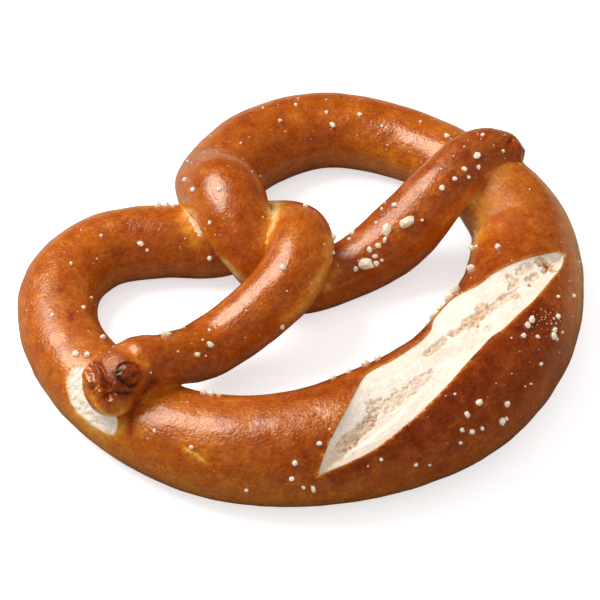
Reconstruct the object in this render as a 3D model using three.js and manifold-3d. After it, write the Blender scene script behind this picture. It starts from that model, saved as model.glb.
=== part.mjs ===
// A soft pretzel: one rope of lye dough, thick in the belly and thin in the arms, looped,
// twisted once and pressed on its own shoulders, with a slit belly and coarse salt.
// Millimetres, +Z up. The pretzel lies on the tray plane z = 0, its belly towards -Y.
import * as THREE from 'three';
import { mergeVertices } from 'three/addons/utils/BufferGeometryUtils.js';
import Module from 'manifold-3d';

const { BoxGeometry, BufferAttribute, BufferGeometry, CatmullRomCurve3, Group, IcosahedronGeometry,
  MathUtils, Mesh, MeshStandardMaterial, SphereGeometry, SplineCurve, Vector2, Vector3 } = THREE;

// Driving dimensions.
const roundness = 0.92;       // height of the rope against its width
const settle = 0.72;          // middle of a resting stretch over the tray, in half widths
const leftTipRounding = 8;    // length of the rounded ends of the two arms
const rightTipRounding = 6.5;
const slitDepth = 3.6;        // the belly's opening, under the lips
const slitStep = 0.7;         // height of the crust's lip over the crumb
const foldWidth = 1.5;        // pressed folds on the two ends
const grainRise = 0.2;        // a salt grain's middle over its seat, in grain radii
const grainSeat = 0.3;        // depth of that seat under the crust

// Fineness of the faceted surface.
const sides = 24;             // round the rope
const ringsPerStretch = 3;    // along it, from one station to the next
const slitRings = 36;
const slitSides = 14;

// The rope's stations, from the left arm's tip to the right arm's: middle, half width and,
// where the rope is lifted off the tray, the height of its middle.
const rests = (x, y, half) => ({ x, y, half, height: settle * half });
const lifted = (x, y, half, height) => ({ x, y, half, height });
const leftArm = [
  lifted(-74.2, 1, 8.4, 17.4),
  lifted(-63.9, -1.1, 8.6, 24.3),
  lifted(-50.8, -0.7, 7.5, 20.6),
  lifted(-35.8, 2.7, 8.4, 12),
  lifted(-20.3, 1.7, 8.9, 15.5),
  lifted(-6.4, 2.3, 9.3, 22),
  lifted(4.1, 12.2, 8.9, 22.3),
  lifted(7.3, 26.6, 8.1, 12.8),
];
const leftLoop = [
  rests(-5.8, 36.7, 10.4),
  rests(-18.3, 46.5, 10.7),
  rests(-33.7, 53.5, 10.8),
  rests(-50.6, 48.9, 11),
  rests(-61.5, 33.5, 11),
  rests(-64.9, 11.8, 11.9),
];
const belly = [
  rests(-61.6, -8.7, 12.8),
  rests(-52.8, -26.3, 14.3),
  rests(-37.3, -40.3, 15.8),
  rests(-17.3, -49.3, 17.8),
  rests(5.2, -52.3, 18.9),
  rests(26.7, -46.3, 18.8),
  rests(45.2, -34.3, 16.8),
  rests(60.1, -17.5, 14.4),
];
const rightLoop = [
  lifted(63.7, -3.5, 12.5, 13.3),
  lifted(65.7, 15.1, 10.7, 9.6),
  rests(59.3, 37.7, 11),
  rests(45.7, 53.7, 11.5),
  rests(26.2, 59.2, 12),
  lifted(4.7, 51.2, 11.3, 13.5),
];
const rightArm = [
  lifted(-1.9, 37.6, 10.9, 22.4),
  lifted(-6.1, 21.7, 9.1, 18.4),
  rests(0.7, 12.1, 8.5),
  rests(17.1, 6.5, 8.6),
  lifted(32.9, 4, 10, 11.8),
  lifted(47.6, 3.3, 8.8, 21.5),
  lifted(62.9, 5.6, 7.4, 24.2),
  lifted(75.5, 2.1, 6.4, 18.4),
];
const stations = [...leftArm, ...leftLoop, ...belly, ...rightLoop, ...rightArm];
const lastStation = stations.length - 1;

// A place on the rope's surface is a station number and an angle in degrees round the rope:
// 0 on the outer side, 90 on top and 180 towards the hole.
const place = (station, degrees) => new Vector2(station, degrees);

// The slit's two lips, from its left end to its right end.
const innerLip = new SplineCurve([place(16.13, 22), place(16.25, 45), place(16.43, 67),
  place(16.67, 90), place(16.98, 115), place(17.36, 119), place(17.78, 124), place(18.16, 131),
  place(18.66, 152), place(18.98, 146), place(19.15, 124), place(19.47, 112), place(19.76, 94),
  place(20.07, 67), place(20.19, 51)]);
const outerLip = new SplineCurve([place(16.13, 22), place(16.28, 27), place(16.47, 32),
  place(16.71, 38), place(16.97, 47), place(17.33, 58), place(17.7, 69), place(18.01, 76),
  place(18.37, 79), place(18.6, 76), place(18.9, 73), place(19.24, 68), place(19.6, 62),
  place(19.97, 53), place(20.19, 51)]);

// Folds pressed into the arms' ends.
const folds = [
  [place(0.6, 130), place(0.69, 98), place(0.62, 60)],
  [place(34.6, 100), place(34.5, 76), place(34.44, 60)],
];

// Salt: single large grains, then scatters between two stations and two angles.
const largeGrains = [
  { at: place(32.27, 63), radius: 2 },
  { at: place(31.88, 76), radius: 1.5 },
  { at: place(31.2, 48), radius: 2 },
  { at: place(31.02, 48), radius: 0.8 },
  { at: place(31.37, 39), radius: 0.7 },
  { at: place(31.48, 39), radius: 0.6 },
  { at: place(31.42, 52), radius: 0.7 },
  { at: place(31.41, 67), radius: 0.8 },
  { at: place(31.57, 64), radius: 0.75 },
  { at: place(31.73, 65), radius: 0.75 },
  { at: place(32.34, 102), radius: 0.8 },
  { at: place(31.36, 124), radius: 0.8 },
  { at: place(33.64, 56), radius: 1 },
  { at: place(33.33, 58), radius: 0.8 },
  { at: place(32.94, 61), radius: 0.8 },
  { at: place(2, 111), radius: 1.3 },
  { at: place(2.56, 50), radius: 0.9 },
  { at: place(2.19, 37), radius: 0.8 },
  { at: place(4.87, 86), radius: 0.8 },
  { at: place(5.8, 13), radius: 0.8 },
  { at: place(9, 56), radius: 1 },
  { at: place(8.9, 54), radius: 0.9 },
  { at: place(8.8, 58), radius: 0.7 },
  { at: place(8.1, 158), radius: 0.8 },
  { at: place(9.37, 133), radius: 0.8 },
  { at: place(12.77, 76), radius: 0.9 },
  { at: place(12.88, 86), radius: 0.8 },
  { at: place(12.63, 128), radius: 0.8 },
  { at: place(11.91, 128), radius: 0.6 },
  { at: place(14.59, 130), radius: 0.8 },
  { at: place(14.73, 130), radius: 0.8 },
  { at: place(14.87, 131), radius: 0.8 },
  { at: place(15.88, 22), radius: 0.8 },
  { at: place(16.08, 8), radius: 0.9 },
  { at: place(15.92, 38), radius: 0.7 },
  { at: place(16.2, 54), radius: 0.7 },
  { at: place(17.84, 43), radius: 0.9 },
  { at: place(18.08, 28), radius: 0.9 },
  { at: place(17.69, 39), radius: 0.8 },
  { at: place(17.68, 23), radius: 0.8 },
  { at: place(17.98, 17), radius: 0.9 },
  { at: place(18.92, 62), radius: 0.9 },
  { at: place(18.68, 60), radius: 0.8 },
  { at: place(18.82, 62), radius: 0.8 },
  { at: place(19.04, 40), radius: 0.8 },
  { at: place(18.98, 38), radius: 0.8 },
  { at: place(18.8, 50), radius: 0.7 },
  { at: place(18.72, 159), radius: 1.2 },
  { at: place(18.9, 156), radius: 1.3 },
  { at: place(19.1, 152), radius: 1.4 },
  { at: place(19.3, 151), radius: 1.3 },
  { at: place(19.79, 144), radius: 1.2 },
  { at: place(20.08, 118), radius: 0.8 },
  { at: place(23.23, 90), radius: 0.8 },
  { at: place(24.89, 127), radius: 0.9 },
  { at: place(27.72, 34), radius: 0.7 },
  { at: place(16.6, 136), radius: 0.9 },
  { at: place(17.1, 142), radius: 0.9 },
  { at: place(17.3, 144), radius: 0.9 },
  { at: place(20.58, 164), radius: 0.9 },
  { at: place(16.83, 138), radius: 0.8 },
];
const scatters = [
  { count: 5, from: place(30.7, 40), to: place(32.6, 120), radius: [0.4, 0.65] },
  { count: 5, from: place(33, 28), to: place(34.3, 100), radius: [0.4, 0.65] },
  { count: 5, from: place(1.9, 0), to: place(6.6, 100), radius: [0.4, 0.65] },
  { count: 5, from: place(9.1, 50), to: place(12.6, 160), radius: [0.4, 0.6] },
  { count: 4, from: place(14.3, 5), to: place(16, 60), radius: [0.4, 0.65] },
  { count: 5, from: place(17.2, 150), to: place(20.6, 165), radius: [0.4, 0.7] },
  { count: 7, from: place(16.7, 5), to: place(18.2, 34), radius: [0.4, 0.7] },
  { count: 7, from: place(18.4, 24), to: place(19.8, 52), radius: [0.4, 0.7] },
  { count: 6, from: place(23.2, 60), to: place(26, 130), radius: [0.4, 0.65] },
  { count: 4, from: place(27.2, 20), to: place(29, 90), radius: [0.4, 0.6] },
];
const saltSeed = 7;

// The rope's middle line and its girth run through the stations alike.
const middleLine = new CatmullRomCurve3(
  stations.map((s) => new Vector3(s.x, s.y, s.height)), false, 'catmullrom', 0.5);
const girthLine = new CatmullRomCurve3(
  stations.map((s) => new Vector3(s.half, 0, 0)), false, 'catmullrom', 0.5);
middleLine.arcLengthDivisions = 40 * lastStation;
const ropeLength = middleLine.getLength();

// The station number at a distance along the rope.
function stationAt(distance) {
  return middleLine.getUtoTmapping(0, distance) * lastStation;
}

// A point of the surface, or raised over it; swell scales the girth, down to 0 at a tip.
function surfacePoint(station, degrees, raise = 0, swell = 1) {
  const along = MathUtils.clamp(station / lastStation, 0, 1);
  const middle = middleLine.getPoint(along);
  const forward = middleLine.getTangent(along);
  const outer = new Vector3().crossVectors(forward, new Vector3(0, 0, 1)).normalize();
  const upper = new Vector3().crossVectors(outer, forward);
  const half = girthLine.getPoint(along).x * swell;
  const angle = MathUtils.degToRad(degrees);
  return middle
    .addScaledVector(outer, (half + raise) * Math.cos(angle))
    .addScaledVector(upper, (half * roundness + raise) * Math.sin(angle));
}

// Moves the rows and columns of a sphere's grid to pointOf(row, column); the first and last
// rows are its poles.
function wrappedSphere(columns, rows, pointOf) {
  const geometry = new SphereGeometry(1, columns, rows);
  const position = geometry.getAttribute('position');
  for (let row = 0; row <= rows; row += 1) {
    for (let column = 0; column <= columns; column += 1) {
      const point = pointOf(row, column % columns);
      position.setXYZ(row * (columns + 1) + column, point.x, point.y, point.z);
    }
  }
  return geometry;
}

// A stretch of the rope. An end is flat, or rounded over a length where the arm stops.
function ropeStretch(first, last, roundedStart = 0, roundedEnd = 0) {
  const domeSteps = [0, 0.02, 0.09, 0.22, 0.4, 0.65];
  const swellAt = (step) => Math.sqrt(1 - (1 - step) ** 2);
  const rows = [];
  if (roundedStart > 0) {
    for (const step of domeSteps) {
      rows.push({ station: stationAt(step * roundedStart), swell: swellAt(step) });
    }
  } else {
    rows.push({ station: first, swell: 0 });
  }
  const begin = roundedStart > 0 ? stationAt(roundedStart) : first;
  const end = roundedEnd > 0 ? stationAt(ropeLength - roundedEnd) : last;
  const rings = Math.round((end - begin) * ringsPerStretch);
  for (let ring = 0; ring <= rings; ring += 1) {
    rows.push({ station: MathUtils.lerp(begin, end, ring / rings), swell: 1 });
  }
  if (roundedEnd > 0) {
    for (const step of [...domeSteps].reverse()) {
      rows.push({ station: stationAt(ropeLength - step * roundedEnd), swell: swellAt(step) });
    }
  } else {
    rows.push({ station: last, swell: 0 });
  }
  return wrappedSphere(sides, rows.length - 1, (row, column) =>
    surfacePoint(rows[row].station, (column / sides) * 360, 0, rows[row].swell));
}

// The space that the slit opens in the belly: a bowed floor under the lips, a roof over them.
function slitOpening() {
  return wrappedSphere(slitSides, slitRings, (row, column) => {
    const along = row / slitRings;
    const turn = (column / slitSides) * 2 * Math.PI;
    const across = (1 - Math.cos(turn)) / 2;
    const at = innerLip.getPoint(along).lerp(outerLip.getPoint(along), across);
    const openness = Math.sqrt(Math.sin(Math.PI * along));
    const arch = Math.abs(Math.sin(turn));
    const floor = -(slitStep * Math.min(1, 2 * arch) + (slitDepth - slitStep) * arch ** 1.5);
    const raise = Math.sin(turn) < 0 ? 4 * arch : floor;
    return surfacePoint(at.x, at.y, raise * openness);
  });
}

// The groove of a fold: a thin spindle laid along the surface.
function foldGroove(places) {
  const path = new SplineCurve(places);
  const rows = 12;
  const columns = 8;
  return wrappedSphere(columns, rows, (row, column) => {
    const at = path.getPoint(row / rows);
    const turn = (column / columns) * 2 * Math.PI;
    const girth = foldWidth * Math.sin((Math.PI * row) / rows);
    const stationsPerMm = 0.09;
    const across = 0.5 * girth * Math.cos(turn);
    return surfacePoint(at.x + across * stationsPerMm, at.y, -girth * Math.sin(turn));
  });
}

// Repeatable random numbers from 0 to 1.
function randomStream(seed) {
  let state = seed;
  return () => {
    state = (state * 16807) % 2147483647;
    return state / 2147483647;
  };
}

// A blunt crystal of salt, sunk a little into the crust.
function saltGrain(at, radius, random) {
  const grain = mergeVertices(positionOnly(new IcosahedronGeometry(radius, 0)));
  const position = grain.getAttribute('position');
  const corner = new Vector3();
  for (let index = 0; index < position.count; index += 1) {
    corner.fromBufferAttribute(position, index).multiplyScalar(0.78 + 0.34 * random());
    position.setXYZ(index, corner.x, corner.y, corner.z);
  }
  const middle = surfacePoint(at.x, at.y, grainRise * radius - grainSeat);
  grain.rotateX(random() * Math.PI);
  grain.rotateZ(random() * Math.PI);
  grain.translate(middle.x, middle.y, middle.z);
  return grain;
}

// Every grain; a scatter spreads its grains evenly by cells along the rope.
function saltGrains() {
  const random = randomStream(saltSeed);
  const grains = largeGrains.map(({ at, radius }) => saltGrain(at, radius, random));
  for (const { count, from, to, radius } of scatters) {
    for (let index = 0; index < count; index += 1) {
      const along = (index + random()) / count;
      const at = place(MathUtils.lerp(from.x, to.x, along), MathUtils.lerp(from.y, to.y, random()));
      grains.push(saltGrain(at, MathUtils.lerp(radius[0], radius[1], random()), random));
    }
  }
  return grains;
}

function positionOnly(geometry) {
  geometry.deleteAttribute('normal');
  geometry.deleteAttribute('uv');
  return geometry;
}

const wasm = await Module();
wasm.setup();

function toSolid(geometry) {
  const merged = mergeVertices(positionOnly(geometry), 1e-5);
  return new wasm.Manifold(new wasm.Mesh({
    numProp: 3,
    vertProperties: Float32Array.from(merged.getAttribute('position').array),
    triVerts: Uint32Array.from(merged.getIndex().array),
  }));
}

function toGeometry(solid) {
  const { vertProperties, triVerts } = solid.getMesh();
  const geometry = new BufferGeometry();
  geometry.setAttribute('position', new BufferAttribute(vertProperties, 3));
  geometry.setIndex(new BufferAttribute(triVerts, 1));
  geometry.computeVertexNormals();
  return geometry;
}

// The rope in three stretches, none of which crosses itself, joined at flat ends.
function pretzel() {
  const armJoin = 9;
  const loopJoin = 26;
  const tray = new BoxGeometry(400, 400, 60).translate(0, 0, -30);
  let solid = toSolid(ropeStretch(armJoin, loopJoin))
    .add(toSolid(ropeStretch(0, armJoin, leftTipRounding, 0)))
    .add(toSolid(ropeStretch(loopJoin, lastStation, 0, rightTipRounding)))
    .subtract(toSolid(slitOpening()));
  for (const places of folds) {
    solid = solid.subtract(toSolid(foldGroove(places)));
  }
  for (const grain of saltGrains()) {
    solid = solid.add(toSolid(grain));
  }
  return solid.subtract(toSolid(tray));
}

const crust = new MeshStandardMaterial({ color: 0xa9622a, roughness: 0.35, metalness: 0 });
const body = new Mesh(toGeometry(pretzel()), crust);
body.name = 'pretzel';

const model = new Group();
model.name = 'soft_pretzel';
model.add(body);

export default model;
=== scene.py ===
# Looks of a soft pretzel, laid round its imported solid. Metres, +Z up, belly towards -Y.
import math
import bmesh
import bpy
import numpy as np
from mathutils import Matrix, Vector, kdtree, noise


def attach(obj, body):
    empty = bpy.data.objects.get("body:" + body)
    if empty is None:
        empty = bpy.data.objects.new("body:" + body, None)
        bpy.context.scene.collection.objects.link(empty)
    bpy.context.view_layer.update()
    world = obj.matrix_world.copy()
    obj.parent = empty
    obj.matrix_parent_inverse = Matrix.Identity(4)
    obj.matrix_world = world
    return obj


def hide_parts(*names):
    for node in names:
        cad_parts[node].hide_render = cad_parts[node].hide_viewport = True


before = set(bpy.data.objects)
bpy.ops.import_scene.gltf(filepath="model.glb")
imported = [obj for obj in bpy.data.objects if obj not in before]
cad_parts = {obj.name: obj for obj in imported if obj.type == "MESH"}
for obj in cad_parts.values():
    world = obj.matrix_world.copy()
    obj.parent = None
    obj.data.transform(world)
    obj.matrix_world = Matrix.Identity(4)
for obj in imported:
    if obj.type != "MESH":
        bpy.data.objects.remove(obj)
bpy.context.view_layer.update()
mm = 0.001
# Farther than anything here reaches, in mm.
farOff = 99.0

# The rope, from the left arm's tip to the right arm's. A station is its middle's x and y
# and its half width, then its middle's height where it is lifted off the tray.
rope = {
    "roundness": 0.92,
    "settle": 0.72,
    "leftRounding": 8.0,
    "rightRounding": 6.5,
    "sides": 112,
    "ringPitch": 1.0,
    "tipPitch": 0.4,
    "tipStretch": 21.0,
    "lumpHeight": 0.42,
    "lumpSize": 21.0,
    "dimpleHeight": 0.2,
    "dimpleSize": 6.0,
    "tipTurn": 40,
    "tipTurnStep": 4,
    "splitStations": (9, 26),
}
stations = [
    (-74.2, 1, 8.4, 17.4), (-63.9, -1.1, 8.6, 24.3), (-50.8, -0.7, 7.5, 20.6),
    (-35.8, 2.7, 8.4, 12), (-20.3, 1.7, 8.9, 15.5), (-6.4, 2.3, 9.3, 22), (4.1, 12.2, 8.9, 22.3),
    (7.3, 26.6, 8.1, 12.8), (-5.8, 36.7, 10.4), (-18.3, 46.5, 10.7), (-33.7, 53.5, 10.8),
    (-50.6, 48.9, 11), (-61.5, 33.5, 11), (-64.9, 11.8, 11.9), (-61.6, -8.7, 12.8),
    (-52.8, -26.3, 14.3), (-37.3, -40.3, 15.8), (-17.3, -49.3, 17.8), (5.2, -52.3, 18.9),
    (26.7, -46.3, 18.8), (45.2, -34.3, 16.8), (60.1, -17.5, 14.4), (63.7, -3.5, 12.5, 13.3),
    (65.7, 15.1, 10.7, 9.6), (59.3, 37.7, 11), (45.7, 53.7, 11.5), (26.2, 59.2, 12),
    (4.7, 51.2, 11.3, 13.5), (-1.9, 37.6, 10.9, 22.4), (-6.1, 21.7, 9.1, 18.4), (0.7, 12.1, 8.5),
    (17.1, 6.5, 8.6), (32.9, 4, 10, 11.8), (47.6, 3.3, 8.8, 21.5), (62.9, 5.6, 7.4, 24.2),
    (75.5, 2.1, 6.4, 18.4),
]


def catmullRom(values, at):
    # values at whole numbers, read between them; the ends run on straight
    values = np.asarray(values, float)
    padded = np.vstack([2 * values[0] - values[1], values, 2 * values[-1] - values[-2]])
    at = np.clip(np.asarray(at, float), 0, len(values) - 1)
    index = np.minimum(at.astype(int), len(values) - 2)
    t = (at - index)[..., None]
    a, b, c, d = (padded[index + k] for k in range(4))
    return 0.5 * (2 * b + (c - a) * t + (2 * a - 5 * b + 4 * c - d) * t**2
                  + (3 * b - 3 * c + d - a) * t**3)


heights = [s[3] if len(s) > 3 else rope["settle"] * s[2] for s in stations]
ropeTable = np.array([(s[0], s[1], h, s[2]) for s, h in zip(stations, heights)])
fineStations = np.linspace(0, len(stations) - 1, 6000)
finePath = catmullRom(ropeTable, fineStations)
fineLength = np.concatenate([[0], np.cumsum(
    np.linalg.norm(np.diff(finePath[:, :3], axis=0), axis=1))])
ropeLength = fineLength[-1]


def stationAt(distance):
    return np.interp(distance, fineLength, fineStations)


def lengthAt(station):
    return np.interp(station, fineStations, fineLength)


def surfacePoint(station, degrees, raised=0.0):
    # a place on the rope's skin: 0 degrees outwards, 90 on top, 180 towards the hole
    station, degrees, raised = np.broadcast_arrays(station, degrees, raised)
    here = catmullRom(ropeTable, station)
    step = 0.01
    forward = catmullRom(ropeTable[:, :3], station + step) - catmullRom(
        ropeTable[:, :3], station - step)
    forward /= np.linalg.norm(forward, axis=-1, keepdims=True)
    outer = np.cross(forward, [0, 0, 1.0])
    outer /= np.linalg.norm(outer, axis=-1, keepdims=True)
    upper = np.cross(outer, forward)
    angle = np.radians(degrees)[..., None]
    half = here[..., 3:4]
    lift = raised[..., None]
    return (here[..., :3] + outer * (half + lift) * np.cos(angle)
            + upper * (half * rope["roundness"] + lift) * np.sin(angle))


def newObject(name, data):
    made = bpy.data.objects.new(name, data)
    bpy.context.scene.collection.objects.link(made)
    return made


def meshObject(name, points, faces):
    mesh = bpy.data.meshes.new(name)
    mesh.from_pydata(np.asarray(points).tolist(), [], faces)
    mesh.update()
    return newObject(name, mesh)


def vertexVectors(piece, name="co"):
    # where a mesh's points are, or with "normal" which way they face
    vectors = np.empty(len(piece.data.vertices) * 3)
    piece.data.vertices.foreach_get(name, vectors)
    return vectors.reshape(-1, 3)


def applied(piece):
    # the piece with its modifiers made plain mesh
    evaluated = piece.evaluated_get(bpy.context.evaluated_depsgraph_get())
    mesh = bpy.data.meshes.new_from_object(evaluated)
    piece.modifiers.clear()
    old = piece.data
    name = piece.name
    if piece.type == "MESH":
        piece.data = mesh
        bpy.data.meshes.remove(old)
        return piece
    bpy.data.objects.remove(piece)
    return newObject(name, mesh)


def smoothShaded(piece):
    piece.data.polygons.foreach_set("use_smooth", [True] * len(piece.data.polygons))
    piece.data.update()


def addAttribute(piece, name, values):
    layer = piece.data.attributes.new(name, "FLOAT", "POINT")
    layer.data.foreach_set("value", np.asarray(values, np.float32))


def newGroup(name, kind, inputs, outputs):
    # an empty node group and what it is given; inputs and outputs have a name and a type
    tree = bpy.data.node_groups.new(name, kind)
    for side, sockets in (("INPUT", inputs), ("OUTPUT", outputs)):
        for label, sort in sockets.items():
            tree.interface.new_socket(label, in_out=side, socket_type="NodeSocket" + sort)
    return tree, tree.nodes.new("NodeGroupInput").outputs


def newTree(name, inputs):
    # a modifier's node group, which takes and gives a shape and knows its material
    inputs = {"Geometry": "Geometry", **inputs, "Material": "Material"}
    return newGroup(name, "GeometryNodeTree", inputs, {"Geometry": "Geometry"})[1]


def fillInputs(node, inputs):
    # an input takes a value, or a link from another node's output
    for label, value in inputs.items():
        socket = node.inputs[label]
        if isinstance(value, bpy.types.NodeSocket):
            node.id_data.links.new(value, socket)
        elif socket.type == "RGBA":
            socket.default_value = (*value, 1)
        else:
            socket.default_value = value


def addNode(tree, kind, inputs=None, **settings):
    # makes a node and gives back its outputs
    node = tree.nodes.new(kind)
    for name, value in settings.items():
        setattr(node, name, value)
    fillInputs(node, inputs or {})
    return node.outputs


def mathOf(operation, first, second=0.0, clamp=False):
    tree = (second if isinstance(first, (int, float)) else first).id_data
    return addNode(tree, "ShaderNodeMath", {0: first, 1: second}, operation=operation,
                   use_clamp=clamp)["Value"]


def plus(first, second, clamp=False):
    return mathOf("ADD", first, second, clamp)


def minus(first, second, clamp=False):
    return mathOf("SUBTRACT", first, second, clamp)


def times(first, second, clamp=False):
    return mathOf("MULTIPLY", first, second, clamp)


def noiseLift(size, height, detail):
    # soft lumps of that size, from half that height down to half that height up
    waves = addNode(size.id_data, "ShaderNodeTexNoise",
                    {"Scale": mathOf("DIVIDE", 1.0, size), "Detail": detail},
                    noise_dimensions="3D")
    return times(minus(waves["Fac"], 0.5), height)


def pushedOut(mesh, lift):
    # the mesh with its points moved outwards
    tree = mesh.id_data
    normal = addNode(tree, "GeometryNodeInputNormal")["Normal"]
    push = addNode(tree, "ShaderNodeVectorMath", {"Vector": normal, "Scale": lift},
                   operation="SCALE")["Vector"]
    return addNode(tree, "GeometryNodeSetPosition", {"Geometry": mesh, "Offset": push})["Geometry"]


def finishedTree(shape, material):
    # every tree ends in one whole mesh that wears one material
    tree = shape.id_data
    whole = addNode(tree, "GeometryNodeRealizeInstances", {"Geometry": shape})["Geometry"]
    worn = addNode(tree, "GeometryNodeSetMaterial", {"Geometry": whole, "Material": material})
    addNode(tree, "NodeGroupOutput", {"Geometry": worn["Geometry"]})
    return tree


def grown(piece, tree, values):
    # the piece as the tree makes it with those inputs
    modifier = piece.modifiers.new(tree.name, "NODES")
    modifier.node_group = tree
    for item in tree.interface.items_tree:
        if item.item_type == "SOCKET" and item.in_out == "INPUT" and item.name in values:
            modifier[item.identifier] = values[item.name]
    return applied(piece)


def ropeTree():
    # sweeps a circle along a line whose radius is the rope's half width, flattens it and
    # gives it the slow lumps of hand-rolled dough
    start = newTree("rolled dough", {
        "Sides": "Int", "Roundness": "Float", "Lump height": "Float", "Lump size": "Float",
        "Dimple height": "Float", "Dimple size": "Float"})
    tree = start["Geometry"].id_data
    upright = addNode(tree, "GeometryNodeSetCurveNormal", {"Curve": start["Geometry"]},
                      mode="Z_UP")["Curve"]
    circle = addNode(tree, "GeometryNodeCurvePrimitiveCircle",
                     {"Resolution": start["Sides"], "Radius": 1.0}, mode="RADIUS")["Curve"]
    squash = addNode(tree, "ShaderNodeCombineXYZ",
                     {"X": 1.0, "Y": start["Roundness"], "Z": 1.0})["Vector"]
    flat = addNode(tree, "GeometryNodeTransform", {"Geometry": circle, "Scale": squash})
    girth = addNode(tree, "GeometryNodeInputRadius")["Radius"]
    tube = addNode(tree, "GeometryNodeCurveToMesh",
                   {"Curve": upright, "Profile Curve": flat["Geometry"], "Scale": girth,
                    "Fill Caps": True})["Mesh"]
    lift = plus(noiseLift(start["Lump size"], start["Lump height"], 1.5),
                noiseLift(start["Dimple size"], start["Dimple height"], 1.5))
    return finishedTree(pushedOut(tube, lift), start["Material"])


def ropeRings():
    # distances along the rope: close at the rounded tips, even between them
    def tipSteps(rounding):
        turns = range(0, rope["tipTurn"], rope["tipTurnStep"])
        return np.array([rounding * (1 - math.cos(math.radians(a))) for a in turns])
    left = tipSteps(rope["leftRounding"])
    right = ropeLength - tipSteps(rope["rightRounding"])[::-1]
    tip, fine, coarse = rope["tipStretch"], rope["tipPitch"], rope["ringPitch"]
    return np.concatenate([
        left,
        np.arange(left[-1] + fine, tip, fine),
        np.arange(tip, ropeLength - tip, coarse),
        np.arange(ropeLength - tip, right[0] - fine * 0.5, fine),
        right,
    ])


def sweptRope():
    distances = ropeRings()
    centres = catmullRom(ropeTable, stationAt(distances))
    fromLeft = np.clip(distances / rope["leftRounding"], 0, 1)
    fromRight = np.clip((ropeLength - distances) / rope["rightRounding"], 0, 1)
    swell = np.sqrt(1 - (1 - fromLeft) ** 2) * np.sqrt(1 - (1 - fromRight) ** 2)
    least = 0.01
    line = bpy.data.curves.new("rope line", "CURVE")
    line.dimensions = "3D"
    spline = line.splines.new("POLY")
    spline.points.add(len(distances) - 1)
    for point, centre, grow in zip(spline.points, centres, swell):
        point.co = (*(centre[:3] * mm), 1)
        point.radius = max(centre[3] * grow, least) * mm
    piece = grown(newObject("rope line", line), ropeTree(), {
        "Sides": rope["sides"],
        "Roundness": rope["roundness"],
        "Lump height": rope["lumpHeight"] * mm,
        "Lump size": rope["lumpSize"] * mm,
        "Dimple height": rope["dimpleHeight"] * mm,
        "Dimple size": rope["dimpleSize"] * mm,
        "Material": bpy.data.materials.new("plain dough"),
    })
    return piece, distances


swept, ringDistances = sweptRope()
print("rope swept:", len(ringDistances), "rings of", rope["sides"], "points")


def closedTube(name, points, sides):
    # rings of points as one closed mesh, flat at both ends
    rings = len(points) // sides
    faces = []
    for ring in range(rings - 1):
        a, b = ring * sides, (ring + 1) * sides
        for k in range(sides):
            n = (k + 1) % sides
            faces.append((a + k, a + n, b + n, b + k))
    faces.append(tuple(range(sides))[::-1])
    faces.append(tuple(range((rings - 1) * sides, rings * sides)))
    return meshObject(name, points, faces)


def addBoolean(piece, other, operation):
    modifier = piece.modifiers.new(operation.lower(), "BOOLEAN")
    modifier.operation = operation
    modifier.solver = "MANIFOLD"
    modifier.object = other


def wrappedGrid(name, columns, rows, pointOf):
    # a closed skin of rows that draw together at both ends
    points = [pointOf(0, 0)]
    for row in range(1, rows):
        points += [pointOf(row, column) for column in range(columns)]
    points.append(pointOf(rows, 0))
    faces = []
    last = len(points) - 1
    for column in range(columns):
        n = (column + 1) % columns
        faces.append((0, 1 + column, 1 + n))
        faces.append((last, last - columns + n, last - columns + column))
        for row in range(rows - 2):
            a, b = 1 + row * columns, 1 + (row + 1) * columns
            faces.append((a + column, b + column, b + n, a + n))
    return meshObject(name, points, faces)


# Where the swept skin lies on the rope, kept for the pieces that are cut from it.
def skinMap():
    points = vertexVectors(swept) / mm
    tree = kdtree.KDTree(len(points))
    for index, point in enumerate(points):
        tree.insert(point, index)
    tree.balance()
    turn = np.tile(-360.0 * np.arange(rope["sides"]) / rope["sides"], len(ringDistances))
    station = np.repeat(stationAt(ringDistances), rope["sides"])
    return points, tree, station, (turn + 180) % 360 - 180


skinPoints, skinTree, skinStation, skinDegrees = skinMap()
ringStations = stationAt(ringDistances)


def skinPlace(places):
    # points of the lumpy skin at rows of station and degrees
    sides = rope["sides"]
    station, degrees = np.asarray(places, float).T
    ring = np.interp(station, ringStations, np.arange(len(ringStations)))
    side = (-degrees / 360 * sides) % sides
    grid = skinPoints.reshape(-1, sides, 3)
    r, c = ring.astype(int), side.astype(int)
    nextRow = np.minimum(r + 1, len(grid) - 1)
    nextColumn = (c + 1) % sides
    t, u = (ring - r)[:, None], (side - c)[:, None]
    near = grid[r, c] * (1 - u) + grid[r, nextColumn] * u
    far = grid[nextRow, c] * (1 - u) + grid[nextRow, nextColumn] * u
    return near * (1 - t) + far * t


def ropePlaces(points):
    # station and degrees of points on the skin
    found = np.array([skinTree.find(point)[1] for point in points])
    return skinStation[found], skinDegrees[found]


def gapToOthers(points, station):
    # how far each point is from the skin of any other part of the rope
    samples, batch, ownStretch = 700, 6000, 2.4
    along = np.linspace(0, len(stations) - 1, samples)
    line = catmullRom(ropeTable, along)
    gap = np.full(len(points), farOff)
    for start in range(0, len(points), batch):
        part = slice(start, start + batch)
        apart = np.linalg.norm(points[part, None, :] - line[None, :, :3], axis=2) - line[:, 3]
        near = abs(station[part, None] - along[None, :]) < ownStretch
        gap[part] = np.where(near, farOff, apart).min(axis=1)
    return gap


def smoothStep(low, high, value):
    t = np.clip((np.asarray(value) - low) / (high - low), 0, 1)
    return t * t * (3 - 2 * t)


def noiseAt(points, size, seed=0.0):
    # smooth noise from -1 to 1 with lumps of about that size
    shift = Vector((seed, seed * 0.7, -seed))
    return np.array([noise.noise(Vector(p) / size + shift) for p in points])


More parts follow.
